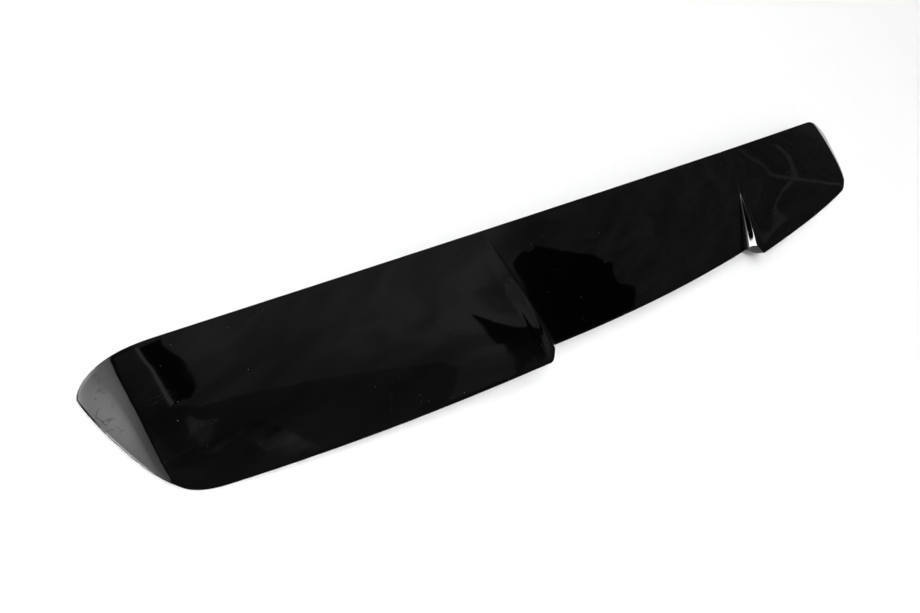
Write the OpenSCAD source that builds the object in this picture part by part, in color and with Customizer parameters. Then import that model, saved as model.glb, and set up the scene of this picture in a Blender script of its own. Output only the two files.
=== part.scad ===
// Gloss roof spoiler: one open-backed moulding with a low centre, two raised
// wings, drooping end facets, and ribs and screw bosses moulded on its underside.
// X runs across the car, +Y forward to the leading edge, +Z up.
// The side rims rest on z = 0 and the origin is below the middle of the part.

/* [Plan outline] */
// Width over the two tips
overall_w = 1300; // [1200:10:1400]
// Width over the two rear corners
rear_w = 1211; // [1160:1:1220]
// Leading edge ahead of the origin, at the centre
lead_y = 61.2; // [58:0.1:66]
// How far the leading edge runs forward from centre to tip
lead_sweep = 22.5; // [16:0.5:28]
// Length of the rounded front corner along the leading edge
corner_len = 71; // [55:1:80]
// Depth of the rounded front corner
corner_drop = 27; // [20:1:34]
// Trailing edge of the low centre behind the origin, at the centre
rec_rear = 69.6; // [64:0.2:74]
// How far that edge bows rearward at the centre
rec_bow = 5.5; // [2:0.5:9]
// Trailing edge of a wing behind the origin, at its inner corner
wing_rear = 79.7; // [77:0.1:88]
// How far a wing's trailing edge runs forward to the rear corner
wing_sweep = 37.5; // [32:0.5:44]

/* [Surface heights] */
// Height of the leading edge at the centre
lead_z = 67; // [64:0.1:74]
// Drop of the leading edge from centre to tip
lead_drop = 58.5; // [52:0.5:60]
// Fall per millimetre of chord at the centre
rake_mid = 0.356; // [0.33:0.002:0.37]
// How much of that fall is gone at the tips
rake_loss = 0.272; // [0.26:0.002:0.3]
// Rise of the chord's middle above a straight line
camber = 4; // [0:0.5:7]
// Height of a wing's inner corner above the low centre
kick_h = 14; // [8:0.5:16]
// Part of the chord, from the rear, over which the wing rises at its inner side
kick_part = 0.57; // [0.45:0.01:0.62]
// How much further forward that rise starts out along the wing
kick_spread = 0.15; // [0.05:0.01:0.2]
// Softness of the crease where the rise starts, at the wing's inner side
kick_soft = 0.012; // [0.008:0.002:0.03]

/* [Step wall] */
// Half-width of the low centre at its trailing edge, to the wall's foot
foot_u = 202; // [185:1:215]
// Width of the concave wall at the trailing edge, from foot to crest
wall_run = 16; // [13:1:22]
// How far the foot moves outward from the trailing edge to the wall's front end
foot_lean = 7.8; // [4:0.2:8]
// How far the crest moves inward over the same length
crest_lean = 5.4; // [3:0.2:6]
// Width of the rounded inner corner of a wing, in plan
nose_run = 17; // [13:1:21]

/* [End facets] */
// Height of the top edge along the side rim
side_z = 4.2; // [3.5:0.1:5]
// How much lower that edge is at the rear corner
side_dip = 2; // [1:0.1:2.2]
// Distance of the end facet's crease from the centre, at its rear end
crease_x = 615.2; // [612:0.2:618]
// How much further out its front end lies
crease_lean = 7.6; // [5:0.2:9]
// Softness of that crease
facet_soft = 4; // [2:0.2:6]

/* [Moulding] */
// Wall thickness of the moulding
wall = 2.5; // [2:0.1:3]
// Depth of the trailing rim at the wings' inner corners
rim_deep = 9; // [7:0.5:11]
// Depth of the trailing rim along the low centre
rim_low = 6; // [5:0.5:8]
// Depth of the leading and side rims
rim_thin = 4; // [3.5:0.1:5]
// How far the side rim's outer face leans inward towards its lower edge
rim_lean = 1.4; // [0:0.1:1.5]
// Forward lean of the trailing rim's outer face, per millimetre of its depth
rear_lean = 0.45; // [0:0.05:0.5]
// Thickness of a rib at its tip
rib_t = 1.6; // [1.2:0.1:2.4]
// Draft on each side of a rib
rib_draft = 0.6; // [0.3:0.1:0.9]
// Gap between the ribs' lower edges and the plane of the rims
rib_clear = 1; // [0.5:0.1:2]
// Part of the chord, from the front, left free of ribs for the tape
tape_land = 0.15; // [0.13:0.01:0.2]

/* [Fixings] */
// Distance of the inner bosses from the centre
boss_in_x = 112; // [100:1:120]
// Distance of the outer bosses from the centre
boss_out_x = 443; // [436:1:450]
// Diameter of a boss
boss_d = 14; // [12:0.5:16]
// Length of a boss below the ceiling of the moulding
boss_len = 15; // [13:0.5:17]
// Outer diameter of a threaded insert
insert_d = 8; // [7.4:0.1:8.6]
// Length of a threaded insert
insert_len = 9.5; // [8:0.5:11]
// Thread bore of an insert
thread_d = 5; // [4.2:0.1:5.2]
// Gap round an insert in its boss
insert_gap = 0.05; // [0.03:0.01:0.1]

/* [Tape] */
// Width of the adhesive tape, as a part of the chord
tape_w = 0.07; // [0.05:0.01:0.08]
// Thickness of the adhesive tape
tape_t = 1.5; // [1.2:0.1:1.6]
// Gap between the tape and the moulding
tape_gap = 0.05; // [0.04:0.01:0.1]
// Half-length of the tape along the leading edge
tape_half = 545; // [500:5:560]

/* [Hidden] */
tip_x = overall_w / 2;
rear_x = rear_w / 2;
fan = tip_x - rear_x;
wing_u = foot_u + 1.5 * wall_run;
nose_u = foot_u + 0.625 * wall_run;
wall_front = 0.6;
wall_power = 1.8;
wall_bend = 1;
wall_soft = 0.12;
lean_in = 2.25 * wall_run;
lean_out = 1.875 * wall_run;
rise_len = 140;
side_len = 45;
end_len = 20;
fan_mid = 0.45 * fan;
fan_power = 3.7;
rear_round_len = 33;
rear_round = 5;
side_curve = 0.78 * fan;
side_hook = fan - side_curve;
boss_y = 5;
gloss = [0.02, 0.02, 0.022];
brass = [0.78, 0.62, 0.3];
tape_grey = [0.3, 0.3, 0.31];
$fn = 48;

// Plan outline, for a station u counted along the trailing edge
function lerp(a, b, t) = a + (b - a) * t;
function smooth(t) = let (c = min(1, max(0, t))) c * c * (3 - 2 * c);
function crown(x) = pow(x / tip_x, 2);
function corner(t) = corner_drop * (t <= 0 ? 0
    : 2 / 3 * pow(t, 2.6) + 1 / 3 * (1 - sqrt(max(0, 1 - pow(t, 6)))));
function front_y(x) = lead_y + lead_sweep * crown(x)
    - corner((x - tip_x + corner_len) / corner_len);
function wing_y(u) = let (q = (u - wing_u) / (rear_x - wing_u), t = 1 - (rear_x - u) / rear_round_len)
    -wing_rear + wing_sweep * q * (0.66 + 0.07 * q + 0.27 * q * q) + rear_round * pow(max(0, t), 3);
function low_y(u) = -rec_rear + rec_bow * pow(u / foot_u, 2);
function rear_y(u) = u < nose_u ? low_y(u)
    : u > nose_u + nose_run ? wing_y(u)
    : lerp(low_y(nose_u), wing_y(nose_u + nose_run), smooth((u - nose_u) / nose_run));
function front_x(u) = u + fan * (1 - pow(1 - min(1, u / rear_x), fan_power));
function bulge(v) = let (w = 1 - v) fan * w - side_curve * pow(w, 1.36) - side_hook * pow(w, 8);
function plan_x(u, v) = lerp(u, front_x(u), v) + bulge(v) * pow(u / rear_x, 8);
function plan_y(u, v) = lerp(rear_y(u), front_y(front_x(u)), v);

// Heights of the outer surface: crowned sheet, wing rise and end facet
function sheet_z(x, y, v) = lead_z - lead_drop * crown(x)
    - (rake_mid - rake_loss * crown(x)) * (lead_y + lead_sweep * crown(x) - y) + camber * 4 * v * (1 - v);
function ramp(v, from, soft) = soft * ln(1 + exp(min(300, (from - v) / soft))) / from;
function rise(u, v) = let (o = smooth((u - foot_u) / rise_len))
    0.12 * ramp(v, 0.86, 0.04) + 0.88 * ramp(v, kick_part + kick_spread * o, kick_soft + 0.05 * o);
// The wall sweeps up in a hollow curve from its foot to a crisp crest
function foot_at(v) = foot_u + foot_lean * min(1, v / wall_front);
function crest_at(v) = foot_u + wall_run - crest_lean * min(1, v / (wall_front * 0.75));
function wall_up(u, v) = let (g = pow(max(0, u - foot_at(v)) / (crest_at(v) - foot_at(v)),
        wall_power + wall_bend * min(1, v / wall_front)))
    (g - sqrt(pow(g - 1, 2) + pow(wall_soft, 2)) + sqrt(1 + pow(wall_soft, 2))) / 2;
function kick(u, v) = kick_h * rise(u, v) * wall_up(u, v) * pow(1 - max(0, u - wing_u) / (rear_x - wing_u), 3);
// The facet falls away from the sheet beyond a straight crease, down to the side rim
function beyond(x, v) = let (d = x - crease_x - crease_lean * v)
    (d + sqrt(d * d + facet_soft * facet_soft)) / 2;
function facet_fall(v) = let (x = plan_x(rear_x, v))
    max(0, sheet_z(x, plan_y(rear_x, v), v) - side_z + side_dip * pow(1 - v, 6))
    / max(facet_soft, beyond(x, v));
function top_z(u, v) = let (x = plan_x(u, v))
    sheet_z(x, plan_y(u, v), v) + kick(u, v) - facet_fall(v) * beyond(x, v);
// Columns of the grid near a wall lean with its foot and crest
function lean(a, v) = a <= foot_u ? (foot_at(v) - foot_u) * smooth((a - foot_u + lean_in) / lean_in)
    : a <= foot_u + wall_run ? lerp(foot_at(v), crest_at(v) - wall_run, (a - foot_u) / wall_run) - foot_u
    : (crest_at(v) - foot_u - wall_run) * smooth((foot_u + wall_run + lean_out - a) / lean_out);
function station(u, v) = let (a = abs(u)) sign(u) * (a + lean(a, v));
function top_pt(u, v) = let (a = abs(station(u, v))) [sign(u) * plan_x(a, v), plan_y(a, v), top_z(a, v)];

// Lower edge of the rim at the rear, front and side
function nose_part(u) = smooth((u - nose_u) / nose_run);
function wing_depth(u) = lerp(rim_deep, rim_thin, smooth((u / rear_x - 0.45) / 0.55));
function rear_rim(u) = max(0, lerp(sheet_z(plan_x(u, 0), plan_y(u, 0), 0) - rim_low,
    top_z(u, 0) - wing_depth(u), nose_part(u)));
function front_rim(u) = max(0, top_z(u, 1) - rim_thin);
function rim_z(u, v) = abs(u) >= rear_x ? 0 : lerp(rear_rim(abs(u)), front_rim(abs(u)), v);

// The same place of the grid moved in from the outline by some millimetres
function in_u(by) = 1 - by / rear_x * 1.6;
function in_v(u, v, by) = let (m = by / (plan_y(abs(u), 1) - plan_y(abs(u), 0))) lerp(m, 1 - m, v);

// Lower edges of the rim, leaning inward at the sides and forward at the rear
function lean_v(u, v) = rear_lean * lerp(rim_low, wing_depth(abs(u)), nose_part(abs(u)))
    / (plan_y(abs(u), 1) - plan_y(abs(u), 0)) * pow(1 - v, 12);
function side_lean(u) = rim_lean * smooth((abs(u) - rear_x + side_len) / side_len);
function rim_pt(u, v, by) = let (a = abs(u) * in_u(by), w = in_v(u, v, by) + lean_v(u, v))
    [sign(u) * plan_x(a, w), plan_y(a, w), rim_z(u, v)];

// Ceiling of the hollow side, inset by the wall, with the ribs standing down from it
function ceil_z(u, v) = let (z = top_z(abs(u) * in_u(wall), in_v(u, v, wall))) max(z - wall, 0.4 * z);
function ceil_pt(u0, v, rib) = let (u = station(u0, v), a = abs(u) * in_u(wall),
        w = in_v(u, v, wall), c = ceil_z(u, v),
        low = lerp(rear_rim(a), front_rim(a), w) + rib_clear,
        fade = v == 0 ? 0 : smooth((1 - tape_land - v) / 0.1), z = c - rib * fade * max(0, c - low))
    [sign(u) * plan_x(a, w), plan_y(a, w), z];

// Stations across and along the part: each rib takes four close stations
rib_half = rib_t / 2 + rib_draft;
low_ribs = [for (k = [0:1]) foot_u * (0.27 + 0.47 * k)];
wing_ribs = [for (k = [0.5:5.5]) wing_u + k * (rear_x - wing_u) / 6];
ribs = concat(low_ribs, wing_ribs);
function rib_stations(c) = [[c - rib_half, 0], [c - rib_half + rib_draft, 1],
    [c + rib_half - rib_draft, 1], [c + rib_half, 0]];
step_stations = [for (k = [-10, -4, 0, 4, 7, 10, 12.5, 14.5, 15.6, 16.6, 18, 21, 24, 30])
    [foot_u + k * wall_run / 16, 0]];
mid_stations = concat([for (k = [1:len(low_ribs) - 1]) [(low_ribs[k - 1] + low_ribs[k]) / 2, 0]],
    [for (k = [1:len(wing_ribs) - 1]) [(wing_ribs[k - 1] + wing_ribs[k]) / 2, 0]]);
end_stations = [for (k = [0:3]) [rear_x - end_len * pow(1 - k / 3, 2), 0]];
half = concat(rib_stations(low_ribs[0]), [mid_stations[0]], rib_stations(low_ribs[1]), step_stations,
    [for (k = [0:5]) each concat(rib_stations(wing_ribs[k]), k < 5 ? [mid_stations[k + 1]] : [])],
    end_stations);
cols = concat([for (k = [len(half) - 1:-1:0]) [-half[k][0], half[k][1]]], [[0, 0]], half);
keel = 0.3;
keel_half = rib_half / (lead_y + rec_rear);
keel_draft = rib_draft / (lead_y + rec_rear);
rows = concat([for (k = [0:2]) [k * 0.1, 0]],
    [[keel - keel_half, 0], [keel - keel_half + keel_draft, 1], [keel + keel_half - keel_draft, 1],
        [keel + keel_half, 0]],
    [[0.44, 0], [0.52, 0], [kick_part, 0], [0.64, 0], [0.74, 0], [1 - tape_land, 0], [0.94, 0], [1, 0]]);

M = len(cols);
N = len(rows);
// Walk round the grid's border: rear left to right, right side, front, left side
border = concat([for (i = [0:M - 1]) [i, 0]], [for (j = [1:N - 1]) [M - 1, j]],
    [for (i = [M - 2:-1:0]) [i, N - 1]], [for (j = [N - 2:-1:1]) [0, j]]);
B = len(border);
function grid_faces(first, up) = [for (i = [0:M - 2], j = [0:N - 2])
    let (a = first + i * N + j, b = a + N, c = b + 1, d = a + 1,
        q = i < (M - 1) / 2 ? [a, b, c, d] : [b, c, d, a])
    each up ? [[q[0], q[2], q[1]], [q[0], q[3], q[2]]] : [[q[0], q[1], q[2]], [q[0], q[2], q[3]]]];
function grid_at(first, k) = first + border[k % B][0] * N + border[k % B][1];
function strip(p, q) = [for (k = [0:B - 1]) each [[p(k), p(k + 1), q(k + 1)], [p(k), q(k + 1), q(k)]]];

module moulding() {
    outer = [for (c = cols, r = rows) top_pt(c[0], r[0])];
    inner = [for (c = cols, r = rows) ceil_pt(c[0], r[0], max(c[1], r[1]))];
    edge = [for (k = border) let (v = rows[k[1]][0]) [station(cols[k[0]][0], v), v]];
    rim_out = [for (e = edge) rim_pt(e[0], e[1], side_lean(e[0]))];
    rim_in = [for (e = edge) rim_pt(e[0], e[1], wall)];
    G = M * N;
    polyhedron(concat(outer, inner, rim_out, rim_in), concat(
        grid_faces(0, true), grid_faces(G, false),
        strip(function(k) grid_at(0, k), function(k) 2 * G + k % B),
        strip(function(k) 2 * G + k % B, function(k) 2 * G + B + k % B),
        strip(function(k) 2 * G + B + k % B, function(k) grid_at(G, k))));
}

// A boss stands straight down; its top is cut parallel to the outer surface, half-way into the wall
boss_spots = [-boss_out_x, -boss_in_x, boss_in_x, boss_out_x];
function chord_part(x, y) = let (a = abs(x) - fan_mid) (y - plan_y(a, 0)) / (plan_y(a, 1) - plan_y(a, 0));
function outer_z(x, y) = let (v = chord_part(x, y))
    sheet_z(abs(x), y, v) + (abs(x) < foot_u ? 0 : kick(abs(x) - fan_mid, v));
function boss_top(x) = outer_z(x, boss_y) - wall / 2;
function boss_foot(x) = outer_z(x, boss_y) - wall - boss_len;
module boss(x) {
    slope_y = atan((outer_z(x, boss_y + 5) - outer_z(x, boss_y - 5)) / 10);
    slope_x = atan((outer_z(x + 5, boss_y) - outer_z(x - 5, boss_y)) / 10);
    difference() {
        translate([x, boss_y, boss_foot(x)]) cylinder(d = boss_d, h = boss_len + 2 * wall);
        translate([x, boss_y, boss_top(x)]) rotate([slope_y, -slope_x, 0])
            translate([-boss_d, -boss_d, 0]) cube([2 * boss_d, 2 * boss_d, 4 * wall]);
    }
}
module insert_hole(x)
    translate([x, boss_y, boss_foot(x) - 1]) cylinder(d = insert_d + 2 * insert_gap, h = insert_len + 1.5);

module shell() color(gloss) difference() {
    union() {
        moulding();
        for (x = boss_spots) boss(x);
    }
    for (x = boss_spots) insert_hole(x);
}

module threaded_inserts() color(brass) for (x = boss_spots)
    translate([x, boss_y, boss_foot(x)]) difference() {
        cylinder(d = insert_d, h = insert_len);
        translate([0, 0, -1]) cylinder(d = thread_d, h = insert_len + 2);
        translate([0, 0, -0.01]) cylinder(d1 = thread_d + 1, d2 = thread_d, h = 0.5);
    }

// The tape follows the ceiling just behind the leading rim
function tape_pt(u, v, drop) = let (p = ceil_pt(u, v, 0)) [p[0], p[1], p[2] - drop];
module front_tape() color(tape_grey) {
    at = [for (c = cols) if (abs(c[0]) < tape_half) c[0]];
    K = len(at);
    v_hi = 0.995;
    ring = [for (u = at) each [tape_pt(u, v_hi - tape_w, tape_gap), tape_pt(u, v_hi, tape_gap),
        tape_pt(u, v_hi, tape_gap + tape_t), tape_pt(u, v_hi - tape_w, tape_gap + tape_t)]];
    polyhedron(ring, concat([[0, 2, 1], [0, 3, 2]],
        [for (k = [0:K - 2], e = [0:3]) let (a = 4 * k + e, b = 4 * k + (e + 1) % 4)
            each k < (K - 1) / 2 ? [[a, b + 4, a + 4], [a, b, b + 4]] : [[a, b, a + 4], [b, b + 4, a + 4]]],
        [[4 * K - 4, 4 * K - 3, 4 * K - 2], [4 * K - 4, 4 * K - 2, 4 * K - 1]]));
}

shell();
threaded_inserts();
front_tape();
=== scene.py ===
import math
import bpy
import numpy as np
from mathutils import Matrix, Vector


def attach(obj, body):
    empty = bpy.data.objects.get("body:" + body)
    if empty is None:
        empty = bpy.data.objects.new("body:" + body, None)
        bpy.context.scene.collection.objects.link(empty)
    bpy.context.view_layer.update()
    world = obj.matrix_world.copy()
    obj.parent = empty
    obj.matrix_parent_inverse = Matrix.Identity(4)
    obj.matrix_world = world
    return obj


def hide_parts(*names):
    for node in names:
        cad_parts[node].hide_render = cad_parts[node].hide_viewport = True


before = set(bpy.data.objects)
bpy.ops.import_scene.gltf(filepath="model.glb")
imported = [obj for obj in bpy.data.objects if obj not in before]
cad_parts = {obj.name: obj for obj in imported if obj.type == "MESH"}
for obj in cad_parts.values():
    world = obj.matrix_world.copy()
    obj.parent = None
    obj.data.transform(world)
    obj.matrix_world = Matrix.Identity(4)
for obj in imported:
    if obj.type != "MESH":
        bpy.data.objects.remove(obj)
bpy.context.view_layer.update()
scene = bpy.context.scene


def linkObject(name, data):
    thing = bpy.data.objects.new(name, data)
    scene.collection.objects.link(thing)
    return thing


# A mesh in metres from points in millimetres. faces is a list of index arrays, one row a face.
def surfaceMesh(name, points, faces):
    mesh = bpy.data.meshes.new(name)
    counts = np.concatenate([np.full(len(f), f.shape[1]) for f in faces])
    loops = np.concatenate([f.ravel() for f in faces])
    starts = np.concatenate([[0], np.cumsum(counts)[:-1]])
    mesh.vertices.add(len(points))
    mesh.vertices.foreach_set("co", (points / 1000).ravel())
    mesh.loops.add(len(loops))
    mesh.loops.foreach_set("vertex_index", loops.astype(np.int32))
    mesh.polygons.add(len(counts))
    mesh.polygons.foreach_set("loop_start", starts.astype(np.int32))
    mesh.polygons.foreach_set("use_smooth", np.ones(len(counts), dtype=bool))
    mesh.update()
    mesh.validate()
    return mesh


# The skin's shape in millimetres, by the same formulas as the part's source. u is a station along the
# trailing edge, and v runs from 0 at the trailing edge to 1 at the leading edge.
skin = {
    # Leading edge and front corner
    "tip": 650.0, "leadY": 61.2, "leadSweep": 22.5,
    "cornerLen": 71.0, "cornerDrop": 27.0, "cornerShare": 2 / 3, "cornerPower": 2.6, "cornerSquare": 6,
    # Trailing edge of the low centre and of a wing, with the nose between them
    "lowRear": 69.6, "lowBow": 5.5,
    "rear": 605.5, "wingRear": 79.7, "wingSweep": 37.5, "wingCurve": (0.66, 0.07, 0.27),
    "roundLen": 33.0, "roundBy": 5.0, "noseStart": 10.0, "noseRun": 17.0,
    # Side edge
    "fanPower": 3.7, "sideCurve": 0.78, "sidePower": 1.36, "sideHook": 8, "endPower": 8,
    # Sheet heights
    "leadZ": 67.0, "leadDrop": 58.5, "rakeMid": 0.356, "rakeLoss": 0.272, "camber": 4.0,
    # Wing rise behind its crease
    "kick": 14.0, "kickPart": 0.57, "kickSpread": 0.15, "kickSoft": 0.012, "kickWiden": 0.05,
    "broadShare": 0.12, "broadPart": 0.86, "broadSoft": 0.04, "riseLen": 140.0, "fadePower": 3,
    # Step wall between the low centre and a wing
    "foot": 202.0, "wallRun": 16.0, "wingStart": 24.0, "footLean": 7.8, "crestLean": 5.4,
    "wallFront": 0.6, "crestFront": 0.45, "wallPower": 1.8, "wallBend": 1.0, "wallSoft": 0.12,
    "leanIn": 36.0, "leanOut": 30.0,
    # End facet
    "sideZ": 4.2, "sideDip": 2.0, "dipPower": 6, "creaseX": 615.2, "creaseLean": 7.6, "facetSoft": 4.0,
    # Rims
    "wall": 2.5, "rimDeep": 9.0, "rimLow": 6.0, "rimThin": 4.0, "rimFrom": 0.45,
    "rimLean": 1.4, "rimLeanLen": 45.0, "rearLean": 0.45, "rearLeanPower": 12,
    "edgeRound": 0.3, "sideInset": 1.6,
    # Ribs and the land for the tape
    "lowRibs": (0.27, 0.74), "wingRibs": 6, "keel": 0.3, "ribTip": 1.6, "ribDraft": 0.6, "ribClear": 1.0,
    "ribFade": 0.1, "tapeLand": 0.15, "leastCeiling": 0.4,
}


def blend(a, b, t):
    return a + (b - a) * t


def smooth(t):
    c = np.clip(t, 0, 1)
    return c * c * (3 - 2 * c)


def crown(x):
    return (x / skin["tip"]) ** 2


# The leading edge sweeps forward as a parabola. Round the corner it drops by a power curve and a rounded
# square, mixed.
def frontY(x):
    s = skin
    t = np.maximum((x - s["tip"] + s["cornerLen"]) / s["cornerLen"], 0)
    square = 1 - np.sqrt(np.maximum(0, 1 - t ** s["cornerSquare"]))
    drop = blend(square, t ** s["cornerPower"], s["cornerShare"])
    return s["leadY"] + s["leadSweep"] * crown(x) - s["cornerDrop"] * drop


# 0 where a wing's trailing edge starts beside the wall, and 1 at the rear corner.
def alongWing(u):
    start = skin["foot"] + skin["wingStart"]
    return (u - start) / (skin["rear"] - start)


# The wing's trailing edge runs forward as a cubic, and turns in by a cube near the rear corner.
def wingY(u):
    s = skin
    q = alongWing(u)
    first, second, third = s["wingCurve"]
    turn = np.maximum((u - s["rear"] + s["roundLen"]) / s["roundLen"], 0) ** 3
    return -s["wingRear"] + s["wingSweep"] * q * (first + second * q + third * q * q) + s["roundBy"] * turn


# The low centre's trailing edge bows rearward as a parabola.
def lowY(u):
    return -skin["lowRear"] + skin["lowBow"] * (u / skin["foot"]) ** 2


# 0 up to the nose beside the wall, and 1 past it, smoothly.
def nosePart(u):
    return smooth((u - skin["foot"] - skin["noseStart"]) / skin["noseRun"])


# The low centre's edge and the wing's, with a smooth step from one to the other round the nose.
def rearY(u):
    start = skin["foot"] + skin["noseStart"]
    end = start + skin["noseRun"]
    between = blend(lowY(start), wingY(end), nosePart(u))
    return np.where(u < start, lowY(u), np.where(u > end, wingY(u), between))


# The stations fan out toward the tip: the leading edge is longer than the trailing edge.
def frontX(u):
    fan = skin["tip"] - skin["rear"]
    return u + fan * (1 - np.maximum(0, 1 - u / skin["rear"]) ** skin["fanPower"])


# Straight from rear to front, plus a bulge that grows toward the end and gives the side edge its curve.
def planX(u, v):
    s = skin
    w = 1 - v
    bulge = w - s["sideCurve"] * w ** s["sidePower"] - (1 - s["sideCurve"]) * w ** s["sideHook"]
    return blend(u, frontX(u), v) + (s["tip"] - s["rear"]) * bulge * (u / s["rear"]) ** s["endPower"]


def planY(u, v):
    return blend(rearY(u), frontY(frontX(u)), v)


# Foot and crest of the wall lean outward and inward on their way forward, each up to its share of the chord.
def footAt(v):
    return skin["foot"] + skin["footLean"] * np.minimum(1, v / skin["wallFront"])


def crestAt(v):
    return skin["foot"] + skin["wallRun"] - skin["crestLean"] * np.minimum(1, v / skin["crestFront"])


# A power curve from foot to crest, held at 1 beyond by the smaller of the two with a soft corner.
def wallUp(a, v):
    s = skin
    power = s["wallPower"] + s["wallBend"] * np.minimum(1, v / s["wallFront"])
    g = (np.maximum(0, a - footAt(v)) / (crestAt(v) - footAt(v))) ** power
    return (g - np.sqrt((g - 1) ** 2 + s["wallSoft"] ** 2) + math.sqrt(1 + s["wallSoft"] ** 2)) / 2


# 0 ahead of start, then straight up to 1 at the trailing edge, with a soft corner.
def ramp(v, start, soft):
    return soft * np.logaddexp(0, (start - v) / soft) / start


# Columns of the grid near a wall lean with its foot and crest, and stand straight again further off.
def station(u, v):
    s = skin
    a = np.abs(u)
    crest = s["foot"] + s["wallRun"]
    footShift, crestShift = footAt(v) - s["foot"], crestAt(v) - crest
    inner = footShift * smooth((a - s["foot"] + s["leanIn"]) / s["leanIn"])
    within = blend(footShift, crestShift, (a - s["foot"]) / s["wallRun"])
    outer = crestShift * smooth((crest + s["leanOut"] - a) / s["leanOut"])
    return np.sign(u) * (a + np.where(a <= s["foot"], inner, np.where(a <= crest, within, outer)))


# A parabola across, a fall toward the rear that lessens outward, and a parabola along the chord.
def sheetZ(x, y, v):
    s = skin
    fall = (s["rakeMid"] - s["rakeLoss"] * crown(x)) * (s["leadY"] + s["leadSweep"] * crown(x) - y)
    return s["leadZ"] - s["leadDrop"] * crown(x) - fall + s["camber"] * 4 * v * (1 - v)


# Distance outward from the crease of the end facet, with a soft start.
def beyond(x, v):
    d = x - skin["creaseX"] - skin["creaseLean"] * v
    return (d + np.sqrt(d * d + skin["facetSoft"] ** 2)) / 2


# The sheet plus the wing's rise, which fades out toward the tip, less the end facet's fall, which beyond a
# straight crease brings the sheet down to the side rim.
def topPoint(u, v):
    s = skin
    a = np.abs(u)
    x, y = planX(a, v), planY(a, v)
    out = smooth((a - s["foot"]) / s["riseLen"])
    sharp = ramp(v, s["kickPart"] + s["kickSpread"] * out, s["kickSoft"] + s["kickWiden"] * out)
    rise = blend(sharp, ramp(v, s["broadPart"], s["broadSoft"]), s["broadShare"])
    fade = np.maximum(0, 1 - np.maximum(0, alongWing(a))) ** s["fadePower"]
    upper = sheetZ(x, y, v) + s["kick"] * rise * wallUp(a, v) * fade
    sideX = planX(s["rear"], v)
    drop = sheetZ(sideX, planY(s["rear"], v), v) - s["sideZ"] + s["sideDip"] * (1 - v) ** s["dipPower"]
    slope = np.maximum(0, drop) / np.maximum(s["facetSoft"], beyond(sideX, v))
    z = upper - slope * beyond(x, v)
    return np.stack(np.broadcast_arrays(np.sign(u) * x, y, z), axis=-1)


# Depth of a wing's trailing rim: even along the inner part, then smoothly thinner toward the tip.
def wingDepth(a):
    share = (a / skin["rear"] - skin["rimFrom"]) / (1 - skin["rimFrom"])
    return blend(skin["rimDeep"], skin["rimThin"], smooth(share))


# Lower edges of the trailing and leading rims, never under the ground. Between them the side rim runs on it.
def rearRim(a):
    low = sheetZ(planX(a, 0 * a), rearY(a), 0) - skin["rimLow"]
    return np.maximum(0, blend(low, topPoint(a, 0 * a)[..., 2] - wingDepth(a), nosePart(a)))


def frontRim(a):
    return np.maximum(0, topPoint(a, 0 * a + 1)[..., 2] - skin["rimThin"])


def rimZ(u, v):
    a = np.abs(u)
    return np.where(a >= skin["rear"] - 1e-6, 0, blend(rearRim(a), frontRim(a), v))


def chordLen(a, v):
    return planY(a, 1 + 0 * v) - planY(a, 0 * v)


# The same point of the grid, moved in from the outline by about that many millimetres.
def inset(u, v, by):
    m = by / chordLen(np.abs(u), v)
    return u * (1 - by / skin["rear"] * skin["sideInset"]), blend(m, 1 - m, v)


# Lower edge of the rim, leaning inward at the sides and forward at the rear.
def rimPoint(u, v, by):
    a = np.abs(u)
    forward = skin["rearLean"] * blend(skin["rimLow"], wingDepth(a), nosePart(a))
    iu, iv = inset(u, v, by)
    point = topPoint(iu, iv + forward / chordLen(a, v) * (1 - v) ** skin["rearLeanPower"])
    point[:, 2] = rimZ(u, v)
    return point


# The hollow side: the outer surface lowered by the wall, and on a rib's stations down to just above the rim.
def ceilingPoint(u, v, rib):
    s = skin
    iu, iv = inset(u, v, s["wall"])
    point = topPoint(iu, iv)
    a = np.abs(iu)
    z = np.maximum(point[..., 2] - s["wall"], s["leastCeiling"] * point[..., 2])
    low = blend(rearRim(a), frontRim(a), iv) + s["ribClear"]
    fade = smooth((1 - s["tapeLand"] - v) / s["ribFade"]) * (v > 0)
    point[..., 2] = z - rib * fade * np.maximum(0, z - low)
    return point


# How the skin is divided. A run holds its start, its step and the number of stations.
skinGrid = {
    "column": 3.2, "row": 0.024,
    "beforeWall": (-10.0, 1.0, 12), "onWall": (2.4, 0.4, 56), "endLen": 20.0, "endColumns": 12,
    "creaseRows": (0.5, 0.01, 16), "roundLoops": 4, "sharpAngle": 32,
}


def evenRun(start, step, count):
    return [(start + step * k, 0.0) for k in range(count)]


def ribStations(c, half, draft):
    return [(c - half, 0.0), (c - half + draft, 1.0), (c + half - draft, 1.0), (c + half, 0.0)]


# Stations (place, rib) with equal steps put between them, none longer than step and none on a rib.
def filled(stations, step):
    out = [stations[0]]
    for (a, ra), (b, rb) in zip(stations[:-1], stations[1:]):
        n = max(1, math.ceil((b - a) / step))
        out += [(a + (b - a) * k / n, 0.0) for k in range(1, n) if ra == rb == 0]
        out.append((b, rb))
    return out


# Stations across the whole part: close ones on the walls and at the ends, four on each rib.
def skinColumns(half):
    s, g = skin, skinGrid
    start = s["foot"] + s["wingStart"]
    places = [s["foot"] * part for part in s["lowRibs"]]
    places += [start + (k + 0.5) * (s["rear"] - start) / s["wingRibs"] for k in range(s["wingRibs"])]
    right = [(0.0, 0.0)]
    for c in places:
        if c > s["foot"] > right[-1][0]:
            for first, step, count in (g["beforeWall"], g["onWall"]):
                right += evenRun(s["foot"] + first, step, count)
        right += ribStations(c, half, s["ribDraft"])
    n = g["endColumns"]
    right += [(s["rear"] - g["endLen"] * (1 - k / n) ** 2, 0.0) for k in range(n + 1)]
    right = filled(right, g["column"])
    return np.array([(-a, r) for a, r in right[:0:-1]] + right)


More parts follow.
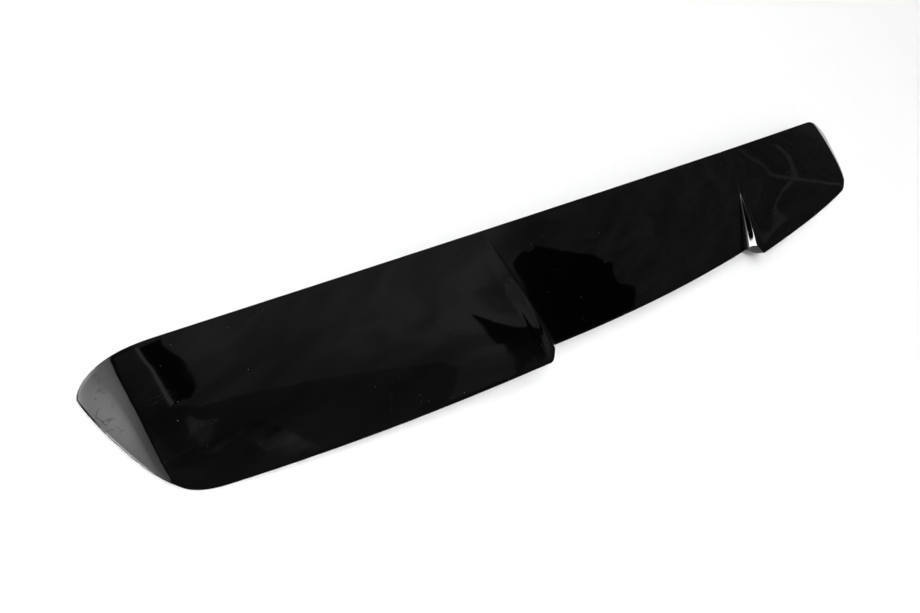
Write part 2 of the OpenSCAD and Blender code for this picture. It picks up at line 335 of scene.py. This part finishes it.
def skinRows(half):
    s, g = skin, skinGrid
    chord = s["leadY"] + s["lowRear"]
    keel = ribStations(s["keel"], half / chord, s["ribDraft"] / chord)
    return np.array(filled([(0.0, 0.0)] + keel + evenRun(*g["creaseRows"]) + [(1.0, 0.0)], g["row"]))


def buildSkin():
    s = skin
    half = s["ribTip"] / 2 + s["ribDraft"]
    cols, rows = skinColumns(half), skinRows(half)
    u, v = np.meshgrid(cols[:, 0], rows[:, 0], indexing="ij")
    u = station(u, v)
    rib = np.maximum(*np.meshgrid(cols[:, 1], rows[:, 1], indexing="ij"))
    m, n = u.shape
    top = topPoint(*inset(u, v, s["edgeRound"]))
    ceiling = ceilingPoint(u, v, rib)
    # The border, walked round: trailing edge, right side, leading edge, left side.
    i = np.concatenate([np.arange(m), np.full(n - 1, m - 1), np.arange(m - 2, -1, -1), np.zeros(n - 2, int)])
    j = np.concatenate([np.zeros(m, int), np.arange(1, n), np.full(m - 1, n - 1), np.arange(n - 2, 0, -1)])
    bu, bv = u[i, j], v[i, j]
    # The upper edge is a quarter round: its loops step outward by one minus sine, and down by one minus cosine.
    loops = []
    for k in range(1, skinGrid["roundLoops"] + 1):
        turn = k / skinGrid["roundLoops"] * math.pi / 2
        loop = topPoint(*inset(bu, bv, s["edgeRound"] * (1 - math.sin(turn))))
        loop[:, 2] -= s["edgeRound"] * (1 - math.cos(turn))
        loops.append(loop)
    lean = s["rimLean"] * smooth((np.abs(bu) - s["rear"] + s["rimLeanLen"]) / s["rimLeanLen"])
    loops += [rimPoint(bu, bv, lean), rimPoint(bu, bv, s["wall"])]
    points = np.concatenate([top.reshape(-1, 3), ceiling.reshape(-1, 3)] + loops)
    index = np.arange(m * n).reshape(m, n)
    a, b, c, d = index[:-1, :-1], index[1:, :-1], index[1:, 1:], index[:-1, 1:]
    faces = [np.stack([a, b, c, d], -1).reshape(-1, 4), np.stack([a, d, c, b], -1).reshape(-1, 4) + m * n]
    rings = [index[i, j]]
    rings += [2 * m * n + k * len(i) + np.arange(len(i)) for k in range(len(loops))]
    rings += [index[i, j] + m * n]
    for upper, lower in zip(rings[:-1], rings[1:]):
        faces.append(np.stack([upper, lower, np.roll(lower, -1), np.roll(upper, -1)], -1))
    mesh = surfaceMesh("spoiler_skin", points, faces)
    mesh.set_sharp_from_angle(angle=math.radians(skinGrid["sharpAngle"]))
    # Bare plastic is 1 on the ceiling and on the rim's inner edge, and 0 on the painted side.
    painted = len(i) * (len(loops) - 1)
    bare = np.concatenate([np.zeros(m * n), np.ones(m * n), np.zeros(painted), np.ones(len(i))])
    mesh.attributes.new("bare", "FLOAT", "POINT").data.foreach_set("value", bare.astype(np.float32))
    return linkObject("spoiler_skin", mesh)


# Screw bosses of the moulding, standing down from the ceiling. Millimetres.
bosses = {
    "spots": [-443.0, -112.0, 112.0, 443.0], "y": 5.0, "radius": 7.0, "hole": 4.05, "length": 15.0,
    "depth": 10.0, "bevel": 0.5, "mouth": 0.2, "sides": 48, "into": 0.4, "sharpAngle": 32,
    "reach": 45.0, "tries": 400,
}


# Height of the outer surface over a point, from the closest of many stations beside it.
def sheetHeight(x, y):
    u = np.linspace(abs(x) - bosses["reach"], abs(x), bosses["tries"])
    v = (y - rearY(u)) / (frontY(frontX(u)) - rearY(u))
    near = np.argmin(np.abs(planX(u, v) - abs(x)))
    return topPoint(u[near:near + 1], v[near:near + 1])[0, 2]


# A profile of radius and height spun round each boss: the hole's end, the hole, its mouth, the lower edge, the
# side. The top ring follows the ceiling.
def buildBosses():
    b = bosses
    turn = np.arange(b["sides"]) / b["sides"] * 2 * math.pi
    rings, faces = [], []
    for x in b["spots"]:
        foot = sheetHeight(x, b["y"]) - skin["wall"] - b["length"]
        profile = [(b["hole"], foot + b["depth"]), (b["hole"], foot + b["mouth"]),
                   (b["hole"] + b["mouth"], foot), (b["radius"] - b["bevel"], foot),
                   (b["radius"], foot + b["bevel"])]
        first = len(rings)
        for r, z in profile:
            ring = [x + r * np.cos(turn), b["y"] + r * np.sin(turn), np.full(b["sides"], z)]
            rings.append(np.stack(ring, -1))
        upper = rings[-1].copy()
        ceiling = skin["wall"] * (1 - b["into"])
        upper[:, 2] = [sheetHeight(px, py) - ceiling for px, py in upper[:, :2]]
        rings.append(upper)
        for k in range(first, len(rings) - 1):
            p = k * b["sides"] + np.arange(b["sides"])
            q = p + b["sides"]
            faces.append(np.stack([p, np.roll(p, -1), np.roll(q, -1), q], -1))
        faces.append((first * b["sides"] + np.arange(b["sides"]))[None, ::-1])
    mesh = surfaceMesh("screw_bosses", np.concatenate(rings), faces)
    mesh.set_sharp_from_angle(angle=math.radians(b["sharpAngle"]))
    return linkObject("screw_bosses", mesh)


skinPiece = buildSkin()
bossPiece = buildBosses()
print("skin and bosses:", len(skinPiece.data.polygons), "faces", len(bossPiece.data.polygons), "faces")


# A shader node with its settings, socket values and wired sockets. A socket is given by name or number.
def addNode(tree, kind, values=None, wires=None, **settings):
    node = tree.nodes.new(kind)
    for name, value in settings.items():
        setattr(node, name, value)
    for socket, value in (values or {}).items():
        node.inputs[socket].default_value = value
    for socket, source in (wires or {}).items():
        tree.links.new(source, node.inputs[socket])
    return node


def rangeNode(tree, source, low, high, toLow, toHigh, kind="LINEAR"):
    values = {"From Min": low, "From Max": high, "To Min": toLow, "To Max": toHigh}
    node = addNode(tree, "ShaderNodeMapRange", values, {"Value": source}, interpolation_type=kind)
    return node.outputs["Result"]


def mathNode(tree, operation, *sources):
    numbers = {k: source for k, source in enumerate(sources) if isinstance(source, (int, float))}
    wires = {k: source for k, source in enumerate(sources) if k not in numbers}
    return addNode(tree, "ShaderNodeMath", numbers, wires, operation=operation).outputs[0]


# The product of several node results.
def productNode(tree, first, *others):
    for other in others:
        first = mathNode(tree, "MULTIPLY", first, other)
    return first


# Distance of a value from a level: thin level lines come out where it is small.
def offLevel(tree, source, level):
    return mathNode(tree, "ABSOLUTE", mathNode(tree, "SUBTRACT", source, level))


def noiseNode(tree, place, scale, detail, distortion=0.0):
    values = {"Scale": scale, "Detail": detail, "Distortion": distortion}
    return addNode(tree, "ShaderNodeTexNoise", values, {"Vector": place}).outputs["Fac"]


def plainMaterial(name, color, roughness, metallic=0.0):
    material = bpy.data.materials.new(name)
    material.use_nodes = True
    shader = material.node_tree.nodes["Principled BSDF"]
    shader.inputs["Base Color"].default_value = color
    shader.inputs["Roughness"].default_value = roughness
    shader.inputs["Metallic"].default_value = metallic
    return material


# Gloss black paint on a used part: thin haze, dust specks, fine scratches and scuffed ends. A noise is given
# by scale and detail, a pair is where something starts and ends.
paint = {
    "clean": (0.0006, 0.0006, 0.00065, 1), "roughness": 0.03, "ior": 1.5, "mirror": 0.5,
    "bare": (0.016, 0.016, 0.0165, 1), "bareRoughness": 0.42,
    "dust": (0.12, 0.12, 0.125, 1), "wornRoughness": 0.25,
    "hazeNoise": (9.0, 5.0), "hazeFrom": (0.42, 0.72), "haze": 0.005,
    "speckScale": 150.0, "speckFrom": 0.6, "speck": 0.06,
    "scratchNoise": (11.0, 1.0), "scratchTurn": 0.9, "scratchStretch": 5.0, "scratchLevel": 0.56,
    "scratchWidth": (0.0008, 0.002), "scratch": 0.02, "breakNoise": (31.0, 2.0), "breakFrom": (0.5, 0.6),
    "scuffFrom": (0.625, 0.645), "scuffNoise": (95.0, 1.0), "scuffLevel": 0.5, "scuffWidth": (0.01, 0.03),
    "scuffBreakNoise": (140.0, 1.0), "scuffBreakFrom": (0.5, 0.56), "scuffedMirror": 0.2,
    "waveNoise": (26.0, 2.0), "wave": 0.00006,
}


# Specks are the middles of scattered cells, and only of those cells whose random value is high.
def specksNode(tree, place):
    cells = addNode(tree, "ShaderNodeTexVoronoi", {"Scale": paint["speckScale"]}, {"Vector": place})
    chance = addNode(tree, "ShaderNodeSeparateColor", None, {0: cells.outputs["Color"]}).outputs["Red"]
    size = rangeNode(tree, chance, paint["speckFrom"], 1.0, 0, paint["speck"])
    return mathNode(tree, "LESS_THAN", cells.outputs["Distance"], size)


# Scratches are thin level lines of a stretched noise, broken up by a second one.
def scratchesNode(tree, place):
    p = paint
    values = {"Rotation": (0, 0, p["scratchTurn"]), "Scale": (1.0, p["scratchStretch"], 1.0)}
    turned = addNode(tree, "ShaderNodeMapping", values, {"Vector": place}).outputs[0]
    lines = offLevel(tree, noiseNode(tree, turned, *p["scratchNoise"]), p["scratchLevel"])
    breaks = rangeNode(tree, noiseNode(tree, place, *p["breakNoise"]), *p["breakFrom"], 0, 1)
    return productNode(tree, rangeNode(tree, lines, *p["scratchWidth"], 1, 0), breaks)


# Scuffs are short curved strokes near both tips, which mirror less than the paint around them.
def scuffsNode(tree, place):
    p = paint
    side = mathNode(tree, "ABSOLUTE", addNode(tree, "ShaderNodeSeparateXYZ", None, {0: place}).outputs["X"])
    lines = offLevel(tree, noiseNode(tree, place, *p["scuffNoise"]), p["scuffLevel"])
    breaks = rangeNode(tree, noiseNode(tree, place, *p["scuffBreakNoise"]), *p["scuffBreakFrom"], 0, 1)
    return productNode(tree, rangeNode(tree, lines, *p["scuffWidth"], 1, 0), breaks,
                       rangeNode(tree, side, *p["scuffFrom"], 0, 1))


def glossMaterial():
    p = paint
    material = plainMaterial("gloss_black_paint", p["clean"], p["roughness"])
    tree = material.node_tree
    place = tree.nodes.new("ShaderNodeTexCoord").outputs["Object"]
    haze = rangeNode(tree, noiseNode(tree, place, *p["hazeNoise"]), *p["hazeFrom"], 0, p["haze"])
    scratches = scratchesNode(tree, place)
    pale = mathNode(tree, "MULTIPLY", scratches, p["scratch"])
    dirt = mathNode(tree, "MAXIMUM", haze, mathNode(tree, "MAXIMUM", specksNode(tree, place), pale))
    bare = addNode(tree, "ShaderNodeAttribute", attribute_name="bare").outputs["Fac"]
    # Inputs 6 and 7 of a mix node are its two colours, and output 2 is the mixed one.
    base = addNode(tree, "ShaderNodeMix", {6: p["clean"], 7: p["bare"]}, {0: bare}, data_type="RGBA").outputs[2]
    color = addNode(tree, "ShaderNodeMix", {7: p["dust"]}, {0: dirt, 6: base}, data_type="RGBA").outputs[2]
    worn = mathNode(tree, "MULTIPLY", mathNode(tree, "ADD", dirt, scratches), p["wornRoughness"])
    rough = mathNode(tree, "ADD", rangeNode(tree, bare, 0, 1, p["roughness"], p["bareRoughness"]), worn)
    mirror = rangeNode(tree, scuffsNode(tree, place), 0, 1, p["mirror"], p["scuffedMirror"])
    bump = addNode(tree, "ShaderNodeBump", {"Strength": 1.0, "Distance": p["wave"]},
                   {"Height": noiseNode(tree, place, *p["waveNoise"])}).outputs[0]
    shader = tree.nodes["Principled BSDF"]
    shader.inputs["IOR"].default_value = p["ior"]
    wires = {"Base Color": color, "Roughness": rough, "Specular IOR Level": mirror, "Normal": bump}
    for socket, source in wires.items():
        tree.links.new(source, shader.inputs[socket])
    return material


# Color, roughness and metallic of the small parts.
smallParts = {
    "threaded_inserts": ("brass", (0.6, 0.42, 0.17, 1), 0.3, 1.0),
    "front_tape": ("foam_tape", (0.03, 0.03, 0.032, 1), 0.9, 0.0),
}

skinPiece.data.materials.append(glossMaterial())
bossPiece.data.materials.append(plainMaterial("bare_plastic", paint["bare"], paint["bareRoughness"]))
for piece in (skinPiece, bossPiece):
    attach(piece, "root")
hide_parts("shell")
for name, look in smallParts.items():
    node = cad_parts[name]
    node.data.materials.clear()
    node.data.materials.append(plainMaterial(*look))
print("materials set")


# A pale floor that gives way to the white surroundings some way off, and isn't seen from below. half is in
# millimetres, fade in metres.
floorLook = {"half": 4000.0, "color": (0.97, 0.97, 0.97, 1), "roughness": 0.9, "fade": (0.9, 2.4)}


def buildFloor():
    half = floorLook["half"]
    corners = np.array([(-half, -half, 0), (half, -half, 0), (half, half, 0), (-half, half, 0)])
    floor = linkObject("floor", surfaceMesh("floor", corners, [np.array([[0, 1, 2, 3]])]))
    material = plainMaterial("pale_floor", floorLook["color"], floorLook["roughness"])
    tree = material.node_tree
    place = tree.nodes.new("ShaderNodeTexCoord").outputs["Object"]
    reach = addNode(tree, "ShaderNodeVectorMath", None, {0: place}, operation="LENGTH").outputs["Value"]
    gone = mathNode(tree, "MAXIMUM", rangeNode(tree, reach, *floorLook["fade"], 0, 1, "SMOOTHSTEP"),
                    tree.nodes.new("ShaderNodeNewGeometry").outputs["Backfacing"])
    clear = tree.nodes.new("ShaderNodeBsdfTransparent").outputs[0]
    solid = tree.nodes["Principled BSDF"].outputs[0]
    mixed = addNode(tree, "ShaderNodeMixShader", None, {0: gone, 1: solid, 2: clear}).outputs[0]
    tree.links.new(mixed, tree.nodes["Material Output"].inputs["Surface"])
    floor.data.materials.append(material)


# The surroundings: white to the camera, an even light on every surface, and to glossy rays a dim room that is
# lighter upward, with soft clutter.
room = {
    "white": 1.0, "light": 0.5, "height": (0.2, 0.55), "mirrored": (0.03, 0.085),
    "clutterNoise": (5.0, 4.0, 0.6), "clutterFrom": (0.35, 0.65), "clutter": (0.6, 1.5),
}


def buildRoom():
    world = bpy.data.worlds.new("studio")
    scene.world = world
    world.use_nodes = True
    tree = world.node_tree
    tree.nodes.clear()
    around = tree.nodes.new("ShaderNodeTexCoord").outputs["Generated"]
    up = addNode(tree, "ShaderNodeSeparateXYZ", None, {0: around}).outputs["Z"]
    noise = noiseNode(tree, around, *room["clutterNoise"])
    level = productNode(tree, rangeNode(tree, up, *room["height"], *room["mirrored"]),
                        rangeNode(tree, noise, *room["clutterFrom"], *room["clutter"]))
    mirrored, light, white = (addNode(tree, "ShaderNodeBackground", {"Color": (1, 1, 1, 1)}) for k in range(3))
    tree.links.new(level, mirrored.inputs["Strength"])
    light.inputs["Strength"].default_value = room["light"]
    white.inputs["Strength"].default_value = room["white"]
    path = tree.nodes.new("ShaderNodeLightPath").outputs
    wires = {0: path["Is Glossy Ray"], 1: light.outputs[0], 2: mirrored.outputs[0]}
    inner = addNode(tree, "ShaderNodeMixShader", None, wires).outputs[0]
    wires = {0: path["Is Camera Ray"], 1: inner, 2: white.outputs[0]}
    outer = addNode(tree, "ShaderNodeMixShader", None, wires).outputs[0]
    addNode(tree, "ShaderNodeOutputWorld", None, {"Surface": outer})


# A material that only shines. With it come its node tree, its strength socket and the place in space.
def glowMaterial(name):
    material = bpy.data.materials.new(name)
    material.use_nodes = True
    tree = material.node_tree
    tree.nodes.clear()
    glow = tree.nodes.new("ShaderNodeEmission")
    addNode(tree, "ShaderNodeOutputMaterial", None, {"Surface": glow.outputs[0]})
    return material, tree, glow.inputs["Strength"], tree.nodes.new("ShaderNodeNewGeometry").outputs["Position"]


# A large softbox far above the left side, in metres. Its light is faint at its near edge, rises past a bend,
# and is strong in its core. A gap in it keeps the upper part of the right step's wall dark.
skyCard = {
    "height": 8.0, "x": (-8.0, -0.6), "y": (-4.5, 4.5),
    "edge": (-0.95, 1.6), "bend": (-2.3, 2.5), "rise": (-2.9, 6.4), "end": (-3.9, -4.3),
    "edgeSoft": 0.12, "faint": 0.02, "side": (-0.5, 1.5), "sideLight": 0.55,
    "gapX": (-2.85, -3.0), "gapNear": (-0.1, 0.1), "gapFar": (1.6, 1.3), "gap": 0.95,
    "core": 31.5, "coreNear": (-3.8, -4.1), "coreFar": (-6.2, -5.8),
    "coreLow": (-3.2, -3.0), "coreHigh": (0.0, -0.2),
}


def buildSkyCard():
    c = skyCard
    (xLow, xHigh), (yLow, yHigh) = c["x"], c["y"]
    corners = np.array([(xLow, yLow), (xLow, yHigh), (xHigh, yHigh), (xHigh, yLow)])
    points = np.column_stack([corners, np.full(4, c["height"])]) * 1000
    card = linkObject("sky_card", surfaceMesh("sky_card", points, [np.array([[0, 1, 2, 3]])]))
    material, tree, strength, spot = glowMaterial("sky_card")
    place = addNode(tree, "ShaderNodeSeparateXYZ", None, {0: spot}).outputs
    x, y = place["X"], place["Y"]
    (edgeX, edgeLight), (bendX, bendLight), (riseX, riseLight) = c["edge"], c["bend"], c["rise"]
    glow = mathNode(tree, "ADD", rangeNode(tree, x, bendX, edgeX, bendLight, edgeLight),
                    rangeNode(tree, x, riseX, bendX, riseLight - bendLight, 0))
    gap = productNode(tree, rangeNode(tree, x, *c["gapX"], 0, c["gap"]),
                      rangeNode(tree, y, *c["gapNear"], 0, 1), rangeNode(tree, y, *c["gapFar"], 0, 1))
    glow = productNode(tree, glow, rangeNode(tree, y, *c["side"], c["sideLight"], 1),
                       rangeNode(tree, x, edgeX, edgeX + c["edgeSoft"], 1, c["faint"]),
                       rangeNode(tree, x, *c["end"], 1, c["faint"]), mathNode(tree, "SUBTRACT", 1, gap))
    core = productNode(tree, rangeNode(tree, x, *c["coreNear"], 0, c["core"]),
                       rangeNode(tree, x, *c["coreFar"], 0, 1), rangeNode(tree, y, *c["coreLow"], 0, 1),
                       rangeNode(tree, y, *c["coreHigh"], 0, 1))
    tree.links.new(mathNode(tree, "MAXIMUM", glow, core), strength)
    card.data.materials.append(material)
    card.visible_camera = False


# Cards that only the gloss shows, with outlines of plan points in metres at the card's height. Those of the far
# wall hold points across and up instead. The ceiling is pale over the left side, and falls off to the right and
# to its near edge. A fade holds a direction, two places along it and the share of light at each.
ceilingCard = {
    "height": 8.3, "light": 0.235, "noise": 0.25,
    "fades": [
        ((1, 0, 0), 5.8, 7.2, 1, 0.4), ((1, 0, 0), 8, 26, 1, 0.3), ((0.664, 0.749, 0), 0.56, 1.5, 0.6, 1)],
    "outlines": [
        [(0.0, 2.5), (0.67, 0.15), (1.1, -0.45), (2.8, -1.95), (4.2, -3.1), (4.6, -3.35), (4.86, -3.8),
         (4.89, -5.2), (7.1, -5.2), (12.0, -12.0), (60.0, -40.0), (60.0, 40.0), (0.0, 5.0)]],
}
# Seen in the low centre, at the left end and beside the left step.
darkCards = {
    "height": 7.6, "light": 0.0,
    "outlines": [
        [(6.29, -2.09), (6.47, -1.87), (6.6, -1.84), (6.81, -2.0), (6.88, -1.88), (7.01, -1.95), (7.7, -2.44),
         (8.77, -3.12), (9.5, -3.62), (9.88, -3.96), (10.16, -4.07), (10.4, -4.6), (10.95, -5.3),
         (11.18, -5.46), (12.1, -6.0), (12.43, -6.56), (12.8, -7.5), (12.6, -7.9), (8.8, -7.2)],
        [(-0.05, 2.23), (0.35, 2.09), (0.37, 1.87), (0.6, 1.2), (0.83, 0.23), (0.8, 0.01), (0.7, 0.12),
         (0.56, 0.15)],
        [(5.03, -1.52), (5.15, -1.62), (5.28, -1.82), (5.35, -1.97), (5.4, -2.08), (5.5, -2.2), (5.33, -2.65),
         (5.18, -3.1), (5.07, -3.55), (5.05, -4.7), (4.93, -4.7), (4.96, -4.1), (5.0, -3.65), (5.03, -3.3),
         (5.07, -2.9), (5.0, -2.94), (5.0, -2.45), (5.04, -2.07)]],
}
clutterCards = {
    "height": 8.2, "light": 0.15, "noise": 0.95,
    "outlines": [
        [(0.85, -0.3), (1.05, -0.75), (1.25, -1.1), (1.3, -1.5), (1.55, -1.95), (1.45, -2.1), (1.2, -1.75),
         (1.12, -1.3), (1.0, -1.0)],
        [(1.5, -1.75), (1.9, -1.95), (2.4, -2.9), (3.0, -4.1), (2.75, -4.1), (2.2, -3.2), (1.75, -2.2)]],
}
# Thin lights, given by the lines that they follow.
rimLight = {"height": 7.5, "light": 0.6, "half": 0.02, "lines": [[(-0.1, 2.3), (0.19, 1.36), (0.54, 0.18)]]}
farWall = {
    "x": 10.0, "light": 0.07, "half": 0.05,
    "lines": [
        [(0.1, 3.6), (-0.37, 3.27), (-0.52, 2.82), (-0.67, 2.56), (-0.74, 2.35), (-0.98, 1.86)],
        [(0.34, 2.5), (0.05, 2.47), (-0.43, 2.56), (-0.67, 2.56)],
        [(-1.73, 2.49), (-1.24, 2.99), (-0.94, 2.82), (-0.71, 2.63)]],
}
cloud = {"noise": (0.9, 4.0, 0.8), "from": (0.35, 0.65)}  # patches on the cards that aren't even


# Outline of a strip of even width: out along one side of its line, and back along the other.
def stripOutline(line, half):
    middle = np.array(line, float)
    along = np.gradient(middle, axis=0)
    along /= np.linalg.norm(along, axis=1, keepdims=True)
    side = np.stack([-along[:, 1], along[:, 0]], 1) * half
    return np.concatenate([middle + side, (middle - side)[::-1]])


# Flat polygons at one height, or on a wall at one x, seen by glossy rays alone.
def buildPanels(name, look):
    outlines = look.get("outlines") or [stripOutline(line, look["half"]) for line in look["lines"]]
    rings = []
    for outline in outlines:
        ring = np.array(outline, float)
        level = np.full(len(ring), look.get("height", look.get("x")))
        rings.append(np.column_stack([ring, level] if "height" in look else [level, ring]) * 1000)
    starts = np.cumsum([0] + [len(ring) for ring in rings])
    faces = [np.arange(len(ring))[None] + start for ring, start in zip(rings, starts)]
    panel = linkObject(name, surfaceMesh(name, np.concatenate(rings), faces))
    material, tree, strength, spot = glowMaterial(name)
    strength.default_value = look["light"]
    if "noise" in look:
        low, high = look["light"] * (1 - look["noise"]), look["light"] * (1 + look["noise"])
        light = rangeNode(tree, noiseNode(tree, spot, *cloud["noise"]), *cloud["from"], low, high)
        for way, start, stop, first, last in look.get("fades", []):
            reach = addNode(tree, "ShaderNodeVectorMath", {1: way}, {0: spot}, operation="DOT_PRODUCT")
            share = rangeNode(tree, reach.outputs["Value"], start, stop, first, last)
            light = mathNode(tree, "MULTIPLY", light, share)
        tree.links.new(light, strength)
    panel.data.materials.append(material)
    panel.visible_camera = panel.visible_diffuse = panel.visible_shadow = panel.visible_transmission = False


# Place in metres, the directions to the right and backward, focal length and sensor width in millimetres.
cameraPlace = {
    "at": (-0.8776, -0.1395, 0.6538), "right": (0.6885, -0.508, 0.5175), "back": (-0.6695, -0.1714, 0.7228),
    "lens": 35.22, "sensor": 36.0, "clip": 0.01,
}


def buildCamera():
    camera = linkObject("camera", bpy.data.cameras.new("camera"))
    camera.data.lens = cameraPlace["lens"]
    camera.data.sensor_width = cameraPlace["sensor"]
    camera.data.clip_start = cameraPlace["clip"]
    back = Vector(cameraPlace["back"]).normalized()
    up = back.cross(Vector(cameraPlace["right"]).normalized()).normalized()
    turn = Matrix((up.cross(back), up, back)).transposed().to_4x4()
    camera.matrix_world = Matrix.Translation(cameraPlace["at"]) @ turn
    scene.camera = camera


buildFloor()
buildRoom()
buildSkyCard()
buildPanels("ceiling_card", ceilingCard)
buildPanels("dark_cards", darkCards)
buildPanels("clutter_cards", clutterCards)
buildPanels("rim_light", rimLight)
buildPanels("far_lines", farWall)
buildCamera()
scene.view_settings.view_transform = "Standard"
print("stage set")
